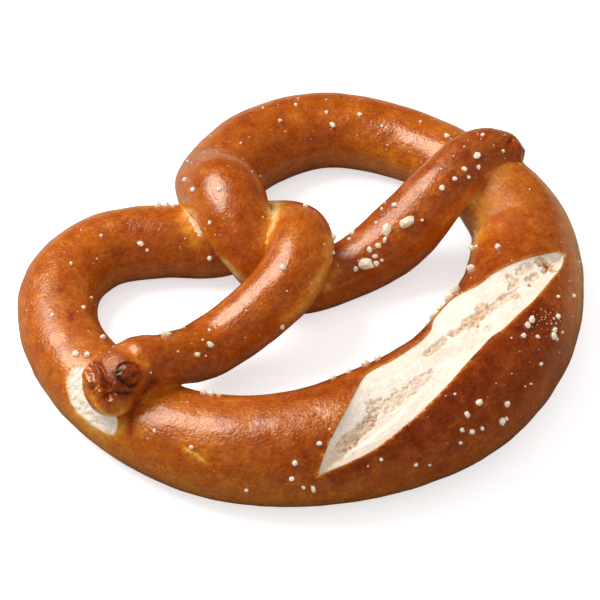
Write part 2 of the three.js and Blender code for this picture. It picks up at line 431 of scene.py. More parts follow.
def wavesAt(points, layers, base=0):
    # noise in layers on top of a base; a layer has a height, a size and a seed
    return sum((height * noiseAt(points, size, seed) for height, size, seed in layers), base)


def tableAt(table, at):
    # read between the rows of a table
    return np.interp(at, *zip(*table))


def edgesOf(piece):
    ends = np.empty(len(piece.data.edges) * 2, int)
    piece.data.edges.foreach_get("vertices", ends)
    return ends.reshape(-1, 2)


def relaxed(points, edges, weight, times):
    # draws points towards the middle of their neighbours
    ends = np.concatenate([edges[:, 0], edges[:, 1]])
    others = np.concatenate([edges[:, 1], edges[:, 0]])
    count = np.bincount(ends, minlength=len(points))[:, None]
    for _ in range(times):
        total = np.stack([np.bincount(ends, points[others, axis], len(points))
                          for axis in range(3)], axis=1)
        points = points + (total / count - points) * weight[:, None]
    return points


def pathPlaces(path, samples):
    # even steps along a path through the given places; a lone place stays as it is
    if len(path) == 1:
        return np.array(path, float)
    return catmullRom(path, np.linspace(0, len(path) - 1, samples))


def distanceToPath(points, path, samples=24):
    # distance in mm to a line drawn on the skin through stations and degrees
    line = skinPlace(pathPlaces(path, samples))
    reach = 40
    nearest = np.full(len(points), farOff)
    close = np.linalg.norm(points - line.mean(axis=0), axis=1) < reach
    apart = np.linalg.norm(points[close, None] - line[None], axis=2)
    nearest[close] = apart.min(axis=1)
    return nearest


def strokeAt(points, path, width, samples=24):
    # 1 on such a line, fading out over its half width
    return np.exp(-(distanceToPath(points, path, samples) / width) ** 2)


# The slit in the belly. Its lips are places on the rope, station and degrees, from the
# left end to the right.
slit = {
    "innerLip": [(16.13, 22), (16.25, 45), (16.43, 67), (16.67, 90), (16.98, 115), (17.36, 119),
                 (17.78, 124), (18.16, 131), (18.66, 152), (18.98, 146), (19.15, 124),
                 (19.47, 112), (19.76, 94), (20.07, 67), (20.19, 51)],
    "outerLip": [(16.13, 22), (16.28, 27), (16.47, 32), (16.71, 38), (16.97, 47), (17.33, 58),
                 (17.7, 69), (18.01, 76), (18.37, 79), (18.6, 76), (18.9, 73),
                 (19.24, 68), (19.6, 62), (19.97, 53), (20.19, 51)],
    "lipStep": 0.35,
    "valley": 2.0,
    "roughness": 0.22,
    "bowlPower": 0.8,
    "waveHeight": 0.03,
    "waveCounts": (47, 23),
    "stepWidth": 0.04,
    "stepPower": 1.4,
    "stepLine": [(0, 0.7), (0.06, 0.86), (0.13, 0.84), (0.2, 0.82), (0.27, 0.85), (0.34, 0.78),
                 (0.4, 0.68), (0.48, 0.65), (0.6, 0.6), (1, 0.5)],
    "stepDrop": [(0, 1.2), (0.1, 1.6), (0.22, 1.5), (0.34, 0.8), (0.46, 0.3), (0.6, 0),
                 (1, 0)],
    "wallThickness": 3.4,
    "lipBand": 0.12,
    "cutHeight": 4,
    "cutSteepness": 3,
    "cutRows": 160,
    "cutColumns": 40,
    "tuck": 0.4,
    "underBulge": 1.2,
    "beyondLips": 0.03,
    "shortOfEnds": 0.004,
    "rows": 520,
    "columns": 150,
    "columnsUnder": 14,
}
# Torn hollows in the crumb: their line along and across the slit, half width in mm, depth
# in mm, and how brown they are.
tears = [
    ([(0.06, 0.5), (0.1, 0.57), (0.14, 0.6)], 1.9, 0.7, 0.45),
    ([(0.14, 0.6), (0.16, 0.57), (0.188, 0.6), (0.22, 0.58), (0.243, 0.57)], 1.7, 1.4, 0.85),
    ([(0.19, 0.68)], 0.7, 2.4, 1.4), ([(0.25, 0.46), (0.265, 0.44)], 0.9, 0.9, 0.7),
    ([(0.27, 0.5), (0.3, 0.6), (0.34, 0.6), (0.4, 0.62)], 2.1, 0.7, 0.5),
    ([(0.436, 0.26), (0.47, 0.26), (0.51, 0.33)], 1.0, 1.1, 0.8),
    ([(0.53, 0.42), (0.55, 0.53), (0.575, 0.58)], 1.3, 1.3, 0.9),
    ([(0.59, 0.62), (0.61, 0.62), (0.63, 0.6), (0.655, 0.57)], 2.4, 1.6, 1.0),
    ([(0.6, 0.88), (0.615, 0.88)], 1.0, 0.5, 0.45), ([(0.53, 0.85), (0.55, 0.87)], 0.9, 0.4, 0.4),
    ([(0.45, 0.5), (0.52, 0.7), (0.58, 0.8)], 1.8, 0.3, 0.25),
    ([(0.70, 0.57), (0.735, 0.55), (0.765, 0.66)], 1.6, 1.0, 0.7),
    ([(0.775, 0.5), (0.79, 0.42), (0.8, 0.32)], 1.5, 1.0, 0.7), ([(0.812, 0.7)], 0.6, 3.0, 3.0),
    ([(0.83, 0.3), (0.867, 0.27)], 1.2, 0.8, 0.5), ([(0.83, 0.6), (0.855, 0.62)], 1.1, 0.9, 0.6),
    ([(0.9, 0.3), (0.903, 0.5), (0.9, 0.74)], 1.7, 2.2, 1.4), ([(0.88, 0.7)], 0.9, 1.2, 0.9),
    ([(0.935, 0.4), (0.945, 0.5)], 1.3, 1.0, 0.6),
]


def slitPlace(along, across):
    spans = len(slit["innerLip"]) - 1
    inner = catmullRom(slit["innerLip"], np.asarray(along) * spans)
    outer = catmullRom(slit["outerLip"], np.asarray(along) * spans)
    return inner + (outer - inner) * np.asarray(across)[..., None]


def slitOpenness(along):
    return np.sqrt(np.clip(np.sin(np.pi * np.asarray(along)), 0, 1))


def valleyDepth(along, across):
    # a smooth hollow, with a ragged step down from the outer band at the left
    many, few = slit["waveCounts"]
    wave = slit["waveHeight"] * np.sin(many * along) * np.sin(few * along + 1)
    line = tableAt(slit["stepLine"], along) + wave
    behind = np.clip(across / line, 0, 1) ** slit["stepPower"]
    step = tableAt(slit["stepDrop"], along) * behind * smoothStep(
        slit["stepWidth"], -slit["stepWidth"], across - line)
    hollow = np.clip(np.sin(np.pi * np.clip(across, 0, 1)), 0, 1)
    bowl = slit["valley"] * hollow ** slit["bowlPower"]
    return (bowl + step) * slitOpenness(along)


def slitCutter():
    rows, columns = slit["cutRows"], slit["cutColumns"]
    row = np.arange(rows + 1)[:, None] / rows
    turn = np.arange(columns)[None, :] / columns * 2 * np.pi
    along, turn = np.broadcast_arrays(row, turn)
    across = (1 - np.cos(turn)) / 2
    arch = np.minimum(1, slit["cutSteepness"] * np.abs(np.sin(turn)))
    under = valleyDepth(along, across) + (slit["lipStep"] + slit["wallThickness"]) * arch * (
        slitOpenness(along))
    above = slit["cutHeight"] * arch * slitOpenness(along)
    raised = np.where(np.sin(turn) < 0, above, -under)
    at = slitPlace(along, across)
    points = surfacePoint(at[..., 0], at[..., 1], raised) * mm
    return wrappedGrid("slit cutter", columns, rows, lambda r, c: points[r, c])


def bakedBody():
    # three stretches that share their end rings, joined and slit
    points = vertexVectors(swept)
    sides = rope["sides"]
    cuts = [int(np.argmin(abs(ringStations - s))) for s in rope["splitStations"]]
    bounds = [0, *cuts, len(ringStations) - 1]
    tubes = [closedTube("stretch", points[a * sides:(b + 1) * sides], sides)
             for a, b in zip(bounds, bounds[1:])]
    cutter = slitCutter()
    body, *others = tubes
    for other in others:
        addBoolean(body, other, "UNION")
    addBoolean(body, cutter, "DIFFERENCE")
    body.name = "crust"
    applied(body)
    for helper in [*others, cutter, swept]:
        bpy.data.objects.remove(helper)
    return body


crust = bakedBody()
print("crust joined and slit:", len(crust.data.vertices), "points")

# Grooves and swellings of the skin: a line of stations and degrees, half width in mm and
# how deep it is in mm; below nothing it stands out.
folds = {
    "left tip groove": ([(0.62, 132), (0.71, 109), (0.73, 98), (0.71, 80), (0.66, 68),
                         (0.68, 54)], 0.5, 1.3),
    "groove's bright rim": ([(0.58, 130), (0.67, 109), (0.69, 98), (0.67, 81), (0.62, 70)],
                            0.4, -0.5),
    "left hollow": ([(0.56, 116), (0.57, 98), (0.53, 84)], 1.1, 0.9),
    "left lobe": ([(0.44, 122), (0.42, 104), (0.42, 88)], 1.4, -0.75),
    "lobe notch": ([(0.34, 84), (0.44, 78), (0.53, 74)], 0.6, 0.9),
    "small lobe": ([(0.48, 66), (0.42, 56)], 1.2, -0.4),
    "lower pinch": ([(0.58, 62), (0.6, 50), (0.58, 42)], 1.3, 1.9),
    "pinch's rim": ([(0.52, 58), (0.48, 46), (0.5, 34), (0.6, 31), (0.68, 37)], 0.7, -0.6),
    "cut under the lobe": ([(0.26, 84), (0.28, 66), (0.32, 46)], 2.6, 1.5),
    "low swelling": ([(0.3, 30), (0.4, 10), (0.6, 5)], 3.0, -0.8),
    "blister": ([(0.94, 56), (1.0, 50)], 2.6, -0.5),
    "blister edge": ([(0.87, 66), (0.91, 74), (0.99, 73), (1.06, 65), (1.10, 52), (1.07, 39),
                      (0.99, 32), (0.89, 32), (0.84, 46), (0.83, 56)], 0.35, 0.6),
    "blister dent": ([(0.92, 60), (0.97, 46)], 0.6, 0.35),
    "tip's lower arc": ([(0.67, 40), (0.69, 37), (0.76, 28), (0.86, 20)], 0.4, 0.6),
    "lower bump": ([(0.74, 52), (0.73, 46)], 0.8, -0.35),
    "neck valley": ([(1.12, 122), (1.12, 101), (1.14, 81), (1.19, 61), (1.17, 35), (1.08, 14)],
                    2.2, 0.9),
    "hump": ([(1.5, 130), (1.55, 96), (1.6, 70)], 4.5, -0.7),
    "right notch": ([(34.56, 84), (34.50, 76), (34.44, 68)], 0.8, 1.3),
    "right lower lobe": ([(34.63, 60), (34.75, 48), (34.66, 36)], 2.3, -1.0),
    "pale crack": ([(14.72, 44), (14.82, 42), (14.91, 38), (15.02, 32)], 0.45, 0.3),
}
# Fine wrinkles fan out between two lines: how many, half width and depth in mm.
fans = [
    ([(0.60, 128), (0.67, 108), (0.68, 98), (0.64, 84)],
     [(0.46, 132), (0.44, 110), (0.45, 98), (0.50, 86)], 9, 0.2, 0.26),
    ([(0.56, 58), (0.55, 48), (0.56, 42), (0.62, 42)],
     [(0.46, 62), (0.42, 46), (0.46, 28), (0.62, 24)], 10, 0.2, 0.26),
]
# Where the skin tore while baking and the pale inside shows: line, half width in mm, how
# deep it sits in mm, how far it is torn.
tornSkin = {
    "left shoulder": ([(13.0, 58), (13.06, 46), (13.2, 36), (13.42, 31), (13.6, 30),
                       (13.72, 33)], 2.5, 0.7, 1.3),
    "twist": ([(8.5, 94), (8.38, 108), (8.26, 122)], 0.5, 0.1, 0.8),
}
# Stations between which the mesh is made finer, and a patch of it above some degrees.
fineStretches = [(0, 1.36), (33.95, 35)]
finePatch = {"from": 12.85, "to": 13.95, "above": 10}
# The skin between the folds. A layer of noise has its height in mm, the size of its lumps
# in mm and its seed.
skin = {
    "joinSoftness": 0.6,
    "joinReach": (1.6, 0.2),
    "joinRounds": 10,
    "foldsVary": [(0.5, 2.4, 17.0)],
    "uneven": [(0.16, 7.0, 20.0), (0.06, 2.6, 21.0)],
    "flatUnder": (0.5, 4.0),
    "wrinkleBase": 0.7,
    "wrinkleVary": 1.2,
    "wrinkleSize": 1.1,
    "wrinkleSeed": 3.0,
    "puckerLeft": (1.25, 0.9),
    "puckerRight": (34.0, 34.4),
    "puckerDepth": 0.16,
    "pucker": [(0.5, 1.5, 12.0), (1.0, 0.7, 13.0)],
    "ragged": [(0.6, 2.2, 1.0), (0.4, 0.9, 2.0)],
    "raggedEdge": 0.35,
    "raggedDepth": 0.5,
    "tornFade": 0.25,
    "tornLimit": 1.15,
}


def refineTips(piece):
    # twice as fine a mesh at the tips and at the torn patch, where the folds are small
    station, degrees = ropePlaces(vertexVectors(piece) / mm)
    wanted = (finePatch["from"] < station) & (station < finePatch["to"])
    wanted &= degrees > finePatch["above"]
    for start, stop in fineStretches:
        wanted |= (start <= station) & (station <= stop)
    shape = bmesh.new()
    shape.from_mesh(piece.data)
    shape.verts.ensure_lookup_table()
    edges = [e for e in shape.edges if wanted[e.verts[0].index] and wanted[e.verts[1].index]]
    bmesh.ops.subdivide_edges(shape, edges=edges, cuts=1, use_grid_fill=True)
    bmesh.ops.triangulate(shape, faces=[f for f in shape.faces if len(f.verts) > 4])
    shape.to_mesh(piece.data)
    shape.free()


def shapedCrust():
    # softens the joins between strands, presses the folds in and sets it on the tray
    refineTips(crust)
    points = vertexVectors(crust) / mm
    normals = vertexVectors(crust, "normal")
    station, degrees = ropePlaces(points)
    gap = gapToOthers(points, station)
    softness = skin["joinSoftness"] * smoothStep(*skin["joinReach"], gap)
    points = relaxed(points, edgesOf(crust), softness, skin["joinRounds"])
    press = np.zeros(len(points))
    for path, width, depth in folds.values():
        press += depth * strokeAt(points, path, width)
    press *= wavesAt(points, skin["foldsVary"], 1)
    # the skin is never quite even, but it lies flat on the tray
    above = smoothStep(*skin["flatUnder"], points[:, 2])
    press += above * wavesAt(points, skin["uneven"])
    for start, stop, count, width, depth in fans:
        for tick in np.linspace(0, 1, count):
            ends = [catmullRom(line, tick * (len(line) - 1)) for line in (start, stop)]
            layer = (skin["wrinkleVary"], skin["wrinkleSize"], skin["wrinkleSeed"] + tick)
            fade = wavesAt(points, [layer], skin["wrinkleBase"])
            press += depth * strokeAt(points, ends, width, 9) * fade
    puckered = smoothStep(*skin["puckerLeft"], station) + smoothStep(*skin["puckerRight"], station)
    press += skin["puckerDepth"] * puckered * wavesAt(points, skin["pucker"])
    torn = np.zeros(len(points))
    ragged = wavesAt(points, skin["ragged"])
    for path, width, depth, amount in tornSkin.values():
        reach = distanceToPath(points, path, 60) / width + skin["raggedEdge"] * ragged
        inside = smoothStep(skin["tornLimit"], 1.0 - skin["tornFade"] / amount, reach)
        press += depth * inside * (1 + skin["raggedDepth"] * ragged)
        torn = np.maximum(torn, amount * inside)
    points = points - normals * press[:, None]
    points[:, 2] = np.maximum(points[:, 2], 0)
    crust.data.vertices.foreach_set("co", (points * mm).ravel())
    crust.data.update()
    return points, station, degrees, gap, torn


crustPoints, crustStation, crustDegrees, crustGap, crustTorn = shapedCrust()

# How brown the skin is along the top, by station, and what lightens or darkens it.
bake = {
    "byStation": [(0, 0.56), (0.8, 0.6), (1.15, 0.56), (2, 0.54), (5, 0.53), (8, 0.53),
                  (10, 0.52), (12, 0.5), (13, 0.49), (15, 0.51), (16, 0.55), (18, 0.62),
                  (20, 0.58), (21.2, 0.5), (22.5, 0.44), (24, 0.51), (26, 0.53), (28, 0.54),
                  (30, 0.56), (32, 0.57), (34, 0.58), (35, 0.6)],
    "side": -0.12,
    "sideTurn": (0.75, -0.4),
    "seamPale": -0.03,
    "seamReach": 1.2,
    "lipPale": -0.28,
    "lipReach": 0.45,
    "lipStations": (15, 21),
    "tornEdge": -0.25,
    "tornRim": 0.3,
    "toneVary": [(0.5, 2.0, 6.0), (0.3, 0.8, 8.0)],
}
# Patches that baked darker or stayed lighter, and a few of painted shade and painted light: line,
# half width in mm, change.
tones = [
    ([(0.92, 58), (1.0, 50)], 2.2, 0.16), ([(0.58, 50), (0.57, 43)], 1.4, 0.3),
    ([(0.87, 66), (0.91, 74), (0.99, 73), (1.06, 65), (1.10, 52), (1.07, 39)], 0.5, 0.32),
    ([(0.99, 32), (0.89, 32), (0.84, 46), (0.83, 56), (0.87, 66)], 0.5, 0.3),
    ([(0.72, 82), (0.78, 62), (0.72, 46)], 2.4, 0.1), ([(0.53, 75)], 0.7, -0.2),
    ([(0.69, 38), (0.76, 28), (0.86, 20)], 0.5, 0.3),
    ([(0.73, 99), (0.71, 80), (0.67, 66)], 0.5, 0.18),
    ([(0.55, 108), (0.55, 92)], 1.0, 0.06),
    # painted shade: darker down the crease where the knob and arm meet the belly
    ([(1.16, 12), (1.04, 8), (0.9, -2), (0.8, -8)], 1.6, 0.34),
    ([(0.5, 78), (0.56, 72)], 0.8, -0.25), ([(0.36, 108), (0.35, 92), (0.36, 76)], 0.8, -0.16),
    ([(13.9, 62), (13.98, 50), (14.02, 36)], 1.0, 0.2),
    # painted shade, carried on along the arm's lower side
    ([(1.2, 12), (1.5, 6), (2.2, 2)], 2.2, 0.12),
    ([(0.27, 116), (0.20, 81), (0.18, 51), (0.2, 29), (0.31, 4), (0.49, -2)], 1.6, -0.26),
    ([(1.12, 122), (1.14, 81), (1.18, 50)], 1.6, -0.16),
    # lighter golden flank of the right shoulder: partly its own golden tone, partly painted light
    # where the arm shades it
    ([(21.83, 150), (21.7, 158), (21.3, 160), (20.6, 152)], 4.5, -0.24),
    ([(19.6, 20), (20.2, 26), (20.8, 24), (21.4, 16)], 6.0, -0.13),
    ([(22.0, 114), (22.02, 90), (22.0, 62)], 1.1, -0.12),
    ([(16.3, 22), (17.2, 44), (18.2, 64), (19.2, 62)], 3.2, 0.12),
    ([(16.9, 10), (18.0, 20), (19.0, 30)], 6.0, 0.05),
    ([(7.02, 66), (6.44, 118), (6.12, 134), (5.92, 148)], 1.9, -0.34),
    ([(7.02, 66), (6.44, 118), (6.12, 134), (5.82, 160)], 4.6, -0.14),
    ([(8.55, 86), (8.42, 104), (8.28, 120)], 4.0, -0.24),
    ([(29.02, -3), (29.13, -6), (29.24, -10)], 2.0, -0.32),
    ([(28.1, 0), (28.4, 4), (28.8, 4)], 2.2, -0.12),
    ([(5.61, 32), (5.38, 28), (5.18, 26), (4.96, 22), (4.77, 15), (4.4, 12)], 2.4, -0.2),
    ([(30.5, 36), (30.58, 46), (30.72, 58)], 2.0, -0.26),
    ([(13.0, 60), (13.2, 30), (13.5, 22), (13.9, 34)], 3.6, -0.14),
    ([(11.44, 106), (11.58, 100)], 1.3, 0.14), ([(12.1, 104), (12.2, 98)], 1.0, 0.14),
    ([(9.3, 104), (9.6, 98)], 2.2, 0.1),
    ([(14.72, 44), (14.82, 42), (14.91, 38), (15.02, 32)], 0.5, -0.4),
]
# Where the skin dried dull: line, half width in mm, how dull.
dryPatches = [
    ([(1.0, 104), (0.9, 92), (0.8, 74)], 2.8, 0.85),
    ([(22.4, 118), (21.9, 126), (21.4, 126)], 9.0, 1.0),
    ([(11.9, 100), (12.6, 108)], 9.0, 0.55), ([(31.6, 100), (32.6, 100)], 9.0, 0.3),
    ([(14.6, 88), (15.4, 92)], 9.0, 0.2),
]
# How thickly fine salt lies along the rope, from 0 to 1, and where a pinch of it fell.
finePinches = {
    "byStation": [(0, 0.1), (2, 0.22), (5, 0.25), (8, 0.15), (12, 0.12), (15, 0.1),
                  (16.5, 0.2), (18, 0.26), (19.5, 0.3), (21, 0.14), (23, 0.3), (26, 0.22),
                  (28, 0.34), (29.5, 0.2), (31, 0.3), (33, 0.3), (35, 0.4)],
    "pinch": [(18.95, 54), (19.12, 50)],
    "pinchReach": 2.2,
    "pinchTimes": 15,
    "facingUp": (0.05, 0.5),
    "tornBelow": 0.1,
    "clearOfLips": 0.8,
    "smallness": 2.5,
    "stretch": ((0.6, 0.7, 0.5), (1.4, 1.1, 1.0)),
    "mostPerSquareMetre": 70000,
    "least": 0.15,
    "most": 0.42,
    "seed": 11,
}


def bakeCrust():
    # what the crust's looks read: how salty, brown, torn and dry it is, and how far along
    # and around the rope in metres
    brown = tableAt(bake["byStation"], crustStation)
    height = np.sin(np.radians(crustDegrees))
    brown = brown + bake["side"] * smoothStep(*bake["sideTurn"], height)
    brown = brown + bake["seamPale"] * np.exp(-np.clip(crustGap, 0, farOff) / bake["seamReach"])
    uneven = wavesAt(crustPoints, bake["toneVary"], 1)
    # the patches add their tones, a few of them painted shade and painted light
    for path, width, change in tones:
        brown += change * uneven * strokeAt(crustPoints, path, width)
    brown += bake["tornEdge"] * smoothStep(0, bake["tornRim"], crustTorn)
    ticks = np.linspace(0, 1, 200)
    lips = np.concatenate([slitPlace(ticks, 0 * ticks), slitPlace(ticks, 1 + 0 * ticks)])
    line = surfacePoint(lips[:, 0], lips[:, 1])
    first, last = bake["lipStations"]
    close = (crustStation > first) & (crustStation < last)
    lipDistance = np.full(len(crustPoints), farOff)
    lipDistance[close] = np.linalg.norm(
        crustPoints[close, None] - line[None], axis=2).min(axis=1)
    brown = brown + bake["lipPale"] * np.exp(-(lipDistance / bake["lipReach"]) ** 2)
    pinch = strokeAt(crustPoints, finePinches["pinch"], finePinches["pinchReach"])
    salty = tableAt(finePinches["byStation"], crustStation) + finePinches["pinchTimes"] * pinch
    salty = salty * smoothStep(*finePinches["facingUp"], vertexVectors(crust, "normal")[:, 2])
    salty = salty * (crustTorn < finePinches["tornBelow"])
    salty = salty * (lipDistance > finePinches["clearOfLips"])
    dry = np.zeros(len(crustPoints))
    for path, width, amount in dryPatches:
        dry = np.maximum(dry, amount * strokeAt(crustPoints, path, width))
    radius = catmullRom(ropeTable, crustStation)[:, 3]
    for name, values in [("salty", salty), ("brown", brown), ("torn", crustTorn), ("dry", dry),
                         ("along", lengthAt(crustStation) * mm),
                         ("around", np.radians(crustDegrees) * radius * mm)]:
        addAttribute(crust, name, values)
    smoothShaded(crust)


bakeCrust()
print("crust shaped:", len(crust.data.polygons), "faces")

# How ragged the crumb's tears are. A layer of noise has its height, the size of its lumps
# in mm and its seed; pits have a spacing in mm, a seed and a weight. Tears deepen and darken
# by a base, more in pits and where it is rough.
tearing = {
    "rough": [(0.6, 2.4, 5.0), (0.4, 1.0, 9.0), (0.2, 0.45, 4.0)],
    "pits": [(2.6, 3.0, 1.0), (1.3, 7.0, 0.7)],
    "pitRim": (0.55, 0.1),
    "spread": 1.25,
    "roughEdge": 0.95,
    "pitEdge": 0.25,
    "rim": (1.05, 0.7),
    "endFade": (2.2, 0.3),
    "deepen": (0.6, 0.5, 0.5),
    "darken": (0.75, 0.3, 0.5),
    "loose": [(1.0, 3.5, 8.0)],
    "looseBase": 0.2,
    "looseRim": (0.25, 0.7),
    "looseDepth": 0.22,
    "looseBrown": 0.1,
}


def pitsAt(points, size, seed):
    # 1 in the middle of round pits strewn through space about that far apart, 0 between
    shift = Vector((seed, -seed, 2 * seed))
    apart = np.array([noise.voronoi(Vector(p) / size + shift)[0][0] for p in points])
    return smoothStep(*tearing["pitRim"], apart)


def tearFields(along, across):
    # how deep the crumb is torn, how brown that is and how rough
    shape = along.shape
    place = slitPlace(along, across)
    flat = surfacePoint(place[..., 0], place[..., 1]).reshape(-1, 3)
    rough = wavesAt(flat, tearing["rough"]).reshape(shape)
    pits = np.max([weight * pitsAt(flat, size, seed) for size, seed, weight in tearing["pits"]],
                  axis=0).reshape(shape)
    depth = np.zeros(shape)
    brown = np.zeros(shape)
    opening, closed = tearing["endFade"]
    ends = np.clip(opening * slitOpenness(along) - closed, 0, 1)

    def varied(base, inPits, whereRough):
        return base + inPits * pits + whereRough * rough

    for path, width, deep, tone in tears:
        at = slitPlace(*pathPlaces(path, 12).T)
        line = surfacePoint(at[:, 0], at[:, 1])
        apart = np.linalg.norm(flat[:, None] - line[None], axis=2).min(axis=1).reshape(shape)
        reach = (apart / (tearing["spread"] * width) + tearing["roughEdge"] * rough
                 - tearing["pitEdge"] * pits)
        hollow = smoothStep(*tearing["rim"], reach) * ends
        depth = np.maximum(depth, deep * hollow * varied(*tearing["deepen"]))
        brown = np.maximum(brown, tone * hollow * varied(*tearing["darken"]))
    loose = wavesAt(flat, tearing["loose"]).reshape(shape) + tearing["looseBase"]
    loose = smoothStep(*tearing["looseRim"], loose)
    return (depth + tearing["looseDepth"] * pits * loose,
            brown + tearing["looseBrown"] * pits * loose, rough)


def crumbPiece():
    # the torn inside: a closed skin whose top is the slit's floor
    rows, top, under = slit["rows"], slit["columns"], slit["columnsUnder"]
    beyond, short = slit["beyondLips"], slit["shortOfEnds"]
    across = np.concatenate([
        np.linspace(-beyond, 1 + beyond, top), np.linspace(1.0, 0.0, under)])
    along = np.linspace(short, 1 - short, rows + 1)
    along, across = np.meshgrid(along, across, indexing="ij")
    isTop = np.arange(top + under) < top
    tearDepth, brown, rough = tearFields(along, across)
    edge = smoothStep(0.0, slit["lipBand"], np.minimum(across, 1 - across))
    floor = slit["lipStep"] + valleyDepth(along, across)
    depth = floor + tearDepth * edge + slit["roughness"] * rough * edge
    thick = slit["wallThickness"] + slit["tuck"]
    depth = np.where(isTop, depth, floor + thick + slit["underBulge"] * edge)
    at = slitPlace(along, across)
    points = surfacePoint(at[..., 0], at[..., 1], -depth) * mm
    piece = wrappedGrid("crumb", top + under, rows, lambda r, c: points[r, c])
    torn = np.where(isTop, brown, 0)
    addAttribute(piece, "torn", np.concatenate([[0], torn[1:-1].ravel(), [0]]))
    smoothShaded(piece)
    return piece


crumb = crumbPiece()
print("crumb:", len(crumb.data.polygons), "faces")

# Salt: places of the largest grains as station, degrees and radius in mm, then bands of
# smaller ones as how many, from and to which place, and the least and greatest radius.
salt = {
    "seed": 7,
    "sunk": 0.2,
    "swell": 1.22,
    "chipping": 1.2,
    "chipSize": 0.0011,
    "stretch": ((0.75, 0.75, 0.65), (1.15, 1.1, 1.0)),
    "shapeSeed": 5,
    "largeGrains": [
        (32.27, 63, 2), (31.88, 76, 1.5), (31.2, 48, 2), (31.02, 48, 0.8), (31.37, 39, 0.7),
        (31.48, 39, 0.6), (31.42, 52, 0.7), (31.41, 67, 0.8), (31.57, 64, 0.75),
        (31.73, 65, 0.75), (32.34, 102, 0.8), (31.36, 124, 0.8), (33.64, 56, 1), (33.33, 58, 0.8),
        (32.94, 61, 0.8), (2, 111, 1.3), (2.56, 50, 0.9), (2.19, 37, 0.8), (4.87, 86, 0.8),
        (5.8, 13, 0.8), (9, 56, 1), (8.9, 54, 0.9), (8.8, 58, 0.7), (8.1, 158, 0.8),
        (9.37, 133, 0.8), (12.77, 76, 0.9), (12.88, 86, 0.8), (12.63, 128, 0.8),
        (11.91, 128, 0.6), (14.59, 130, 0.8), (14.73, 130, 0.8), (14.87, 131, 0.8),
        (15.88, 22, 0.8), (16.08, 8, 0.9), (15.92, 38, 0.7), (16.2, 54, 0.7), (17.84, 43, 0.9),
        (18.08, 28, 0.9), (17.69, 39, 0.8), (17.68, 23, 0.8), (17.98, 17, 0.9), (18.92, 62, 0.9),
        (18.68, 60, 0.8), (18.82, 62, 0.8), (19.04, 40, 0.8), (18.98, 38, 0.8), (18.8, 50, 0.7),
        (18.72, 159, 1.2), (18.9, 156, 1.3), (19.1, 152, 1.4), (19.3, 151, 1.3),
        (19.79, 144, 1.2), (20.08, 118, 0.8), (23.23, 90, 0.8), (24.89, 127, 0.9),
        (27.72, 34, 0.7), (16.6, 136, 0.9), (17.1, 142, 0.9), (17.3, 144, 0.9), (20.58, 164, 0.9),
        (16.83, 138, 0.8)],
    "bands": [
        (5, (30.7, 40), (32.6, 120), 0.4, 0.65), (5, (33, 28), (34.3, 100), 0.4, 0.65),
        (5, (1.9, 0), (6.6, 100), 0.4, 0.65), (5, (9.1, 50), (12.6, 160), 0.4, 0.6),
        (4, (14.3, 5), (16, 60), 0.4, 0.65), (5, (17.2, 150), (20.6, 165), 0.4, 0.7),
        (7, (16.7, 5), (18.2, 34), 0.4, 0.7), (7, (18.4, 24), (19.8, 52), 0.4, 0.7),
        (6, (23.2, 60), (26, 130), 0.4, 0.65), (4, (27.2, 20), (29, 90), 0.4, 0.6)],
    "fineness": 1,
    "cornerDraws": 12,
    "turnDraws": 2,
}


def randomStream(seed):
    factor, span = 16807, 2147483647
    state = seed
    while True:
        state = (state * factor) % span
        yield state / span


def grainPlaces():
    # station, degrees and radius of every coarse grain, as in the solid
    draws = randomStream(salt["seed"])
    spare = salt["cornerDraws"] + salt["turnDraws"]
    places = []

    def keep(place):
        places.append(place)
        for _ in range(spare):
            next(draws)

    for place in salt["largeGrains"]:
        keep(place)
    for count, start, stop, least, most in salt["bands"]:
        for index in range(count):
            along = (index + next(draws)) / count
            station = start[0] + (stop[0] - start[0]) * along
            degrees = start[1] + (stop[1] - start[1]) * next(draws)
            keep((station, degrees, least + (most - least) * next(draws)))
    return np.array(places)


def crystalsOn(points, fineness, size, seed, least, most):
    # a crystal of that size on every point, each turned and stretched its own way
    tree = points.id_data
    crystal = addNode(tree, "GeometryNodeMeshIcoSphere",
                      {"Radius": 1.0, "Subdivisions": fineness})["Mesh"]
    anyTurn = (6.28, 6.28, 6.28)
    turn = addNode(tree, "FunctionNodeRandomValue", {"Max": anyTurn, "Seed": seed},
                   data_type="FLOAT_VECTOR")["Value"]
    stretch = addNode(tree, "FunctionNodeRandomValue", {"Min": least, "Max": most, "Seed": seed},
                      data_type="FLOAT_VECTOR")["Value"]
    scale = addNode(tree, "ShaderNodeVectorMath", {"Vector": stretch, "Scale": size},
                    operation="SCALE")["Vector"]
    grains = addNode(tree, "GeometryNodeInstanceOnPoints", {
        "Points": points, "Instance": crystal, "Rotation": turn, "Scale": scale})["Instances"]
    return addNode(tree, "GeometryNodeRealizeInstances", {"Geometry": grains})["Geometry"]


def namedAttribute(tree, name):
    return addNode(tree, "GeometryNodeInputNamedAttribute", {"Name": name},
                   data_type="FLOAT")["Attribute"]


def grainTree():
    # one blunt crystal on every point, each chipped its own way
    start = newTree("salt grains", {
        "Fineness": "Int", "Chipping": "Float", "Chip size": "Float", "Seed": "Int"})
    size = namedAttribute(start["Geometry"].id_data, "size")
    grains = crystalsOn(start["Geometry"], start["Fineness"], size, start["Seed"],
                        *salt["stretch"])
    chips = times(noiseLift(start["Chip size"], start["Chipping"], 1.0), size)
    return finishedTree(pushedOut(grains, chips), start["Material"])


